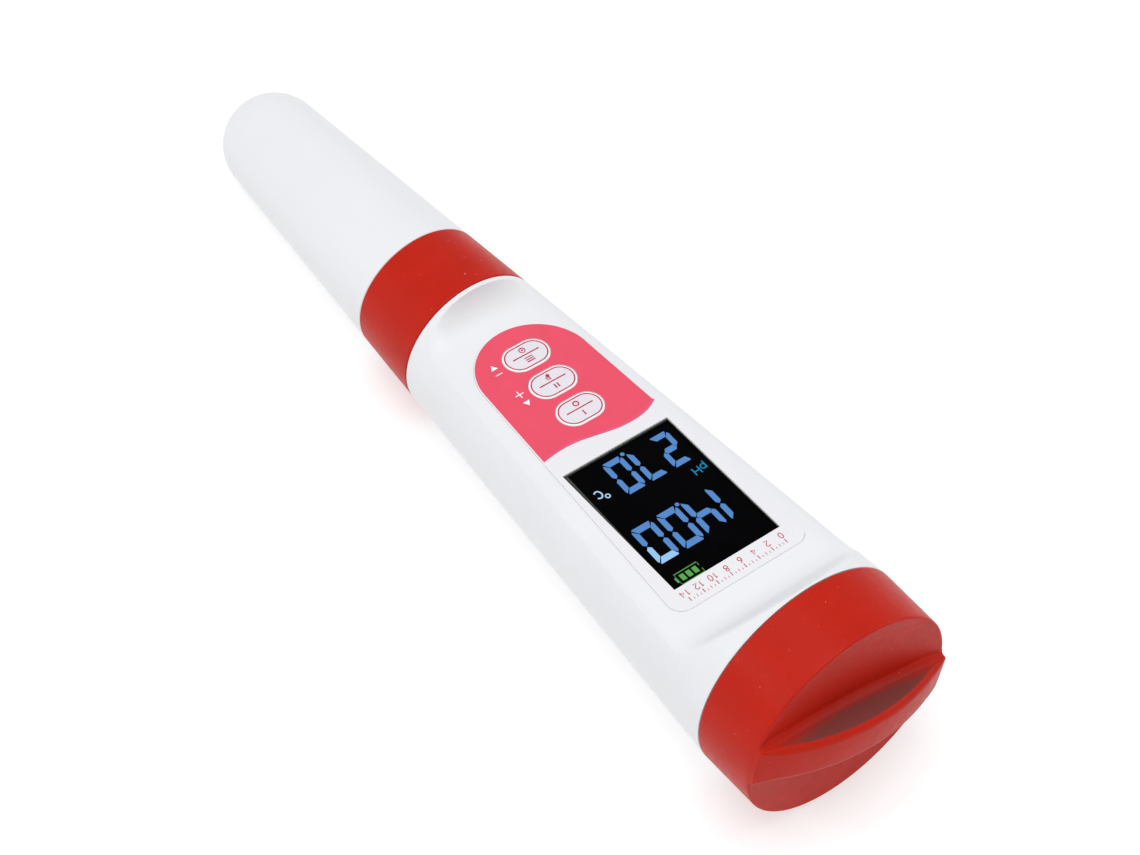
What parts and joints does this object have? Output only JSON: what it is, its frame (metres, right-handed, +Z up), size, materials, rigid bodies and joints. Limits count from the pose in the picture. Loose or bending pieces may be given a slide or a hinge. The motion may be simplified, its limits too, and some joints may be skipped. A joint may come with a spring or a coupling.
{
  "type": "pen-style pH and conductivity meter",
  "caption": "Tapered hand-held water tester with a flat face carrying a display and pill-shaped keys, a storage cap over its probe, a lock ring and a screw-on battery cap with a grip rib.",
  "frame": {"origin": "bottom centre of the bounding box of the meter lying on its back", "axes": "+X along the length towards the battery cap, +Z up out of the screen side, +Y across; the axis of the body rises towards +X by the cone's half angle of 4.07 degrees, so that the lowest line of the cone lies on Z = 0"},
  "size_m": [0.1644, 0.038, 0.0385],
  "materials": {
    "white_plastic": "satin",
    "red_plastic": "satin",
    "label_film": "semi-gloss",
    "window": "polished",
    "lcd_black": "polished",
    "key_plastic": "satin",
    "grey_plastic": "matt",
    "light_guide": "gloss",
    "rubber": "matt",
    "board": "satin",
    "chip": "matt",
    "steel": "satin",
    "contact": "polished",
    "probe_plastic": "satin",
    "electrode_glass": "polished",
    "silver": "dull",
    "junction": "matt",
    "graphite": "satin",
    "sponge": "matt"
  },
  "bodies": {
    "root": {"body_shell": "white_plastic", "face_label": "label_film", "display_window": "window", "lcd_panel": "lcd_black", "lcd_frame": "grey_plastic", "backlight": "light_guide", "zebra_strip": "rubber", "main_board": "board", "board_carrier": "grey_plastic", "board_screw_1": "steel", "board_screw_2": "steel", "controller_chip": "chip", "switch_power": "chip", "switch_hold": "chip", "switch_mode": "chip", "battery_holder": "grey_plastic", "cell_1": "steel", "cell_2": "steel", "cell_3": "steel", "cell_4": "steel", "battery_spring": "steel", "terminal_leaf": "contact", "probe_socket": "grey_plastic"},
    "key_power": {"button_power": "key_plastic"},
    "key_hold": {"button_hold": "key_plastic"},
    "key_mode": {"button_mode": "key_plastic"},
    "cap_carriage": {"battery_cap_seal": "rubber"},
    "battery_cap": {"battery_cap": "red_plastic", "battery_contact_plate": "contact"},
    "probe_module": {"probe_body": "probe_plastic", "glass_electrode": "electrode_glass", "silver_wire": "silver", "reference_junction": "junction", "conductivity_pin_1": "graphite", "conductivity_pin_2": "graphite", "temperature_sensor": "steel", "cap_seal": "rubber", "probe_seal": "rubber", "probe_plug": "chip"},
    "ring_carriage": {"ring_washer": "grey_plastic"},
    "lock_ring": {"lock_ring": "red_plastic"},
    "storage_cap": {"probe_cap": "white_plastic", "storage_sponge": "sponge"}
  },
  "joints": [
    {"name": "power_press", "type": "slide", "parent": "root", "child": "key_power", "axis": [0.0709, 0, -0.9975], "range_m": [0, 0.00045], "stiffness_N_per_m": 300},
    {"name": "hold_press", "type": "slide", "parent": "root", "child": "key_hold", "axis": [0.0709, 0, -0.9975], "range_m": [0, 0.00045], "stiffness_N_per_m": 300},
    {"name": "mode_press", "type": "slide", "parent": "root", "child": "key_mode", "axis": [0.0709, 0, -0.9975], "range_m": [0, 0.00045], "stiffness_N_per_m": 300},
    {"name": "battery_cap_lift", "type": "slide", "parent": "root", "child": "cap_carriage", "axis": [0.9975, 0, 0.0709], "range_m": [0, 0.0036]},
    {"name": "battery_cap_turn", "type": "hinge", "parent": "cap_carriage", "child": "battery_cap", "pos_m": [0.07085, 0, 0.01931], "axis": [0.9975, 0, 0.0709], "range_deg": [0, 720]},
    {"name": "probe_pull", "type": "slide", "parent": "root", "child": "probe_module", "axis": [-0.9975, 0, -0.0709], "range_m": [0, 0.02]},
    {"name": "ring_lift", "type": "slide", "parent": "probe_module", "child": "ring_carriage", "axis": [-0.9975, 0, -0.0709], "range_m": [0, 0.0063]},
    {"name": "ring_turn", "type": "hinge", "parent": "ring_carriage", "child": "lock_ring", "pos_m": [-0.02192, 0, 0.01271], "axis": [-0.9975, 0, -0.0709], "range_deg": [0, 1080]},
    {"name": "storage_cap_pull", "type": "slide", "parent": "ring_carriage", "child": "storage_cap", "axis": [-0.9975, 0, -0.0709], "range_m": [0, 0.055]}
  ],
  "couplings": [
    {"joint": "battery_cap_turn", "follows": "battery_cap_lift", "rad_per_m": 3490.7},
    {"joint": "ring_turn", "follows": "ring_lift", "rad_per_m": 2992}
  ]
}
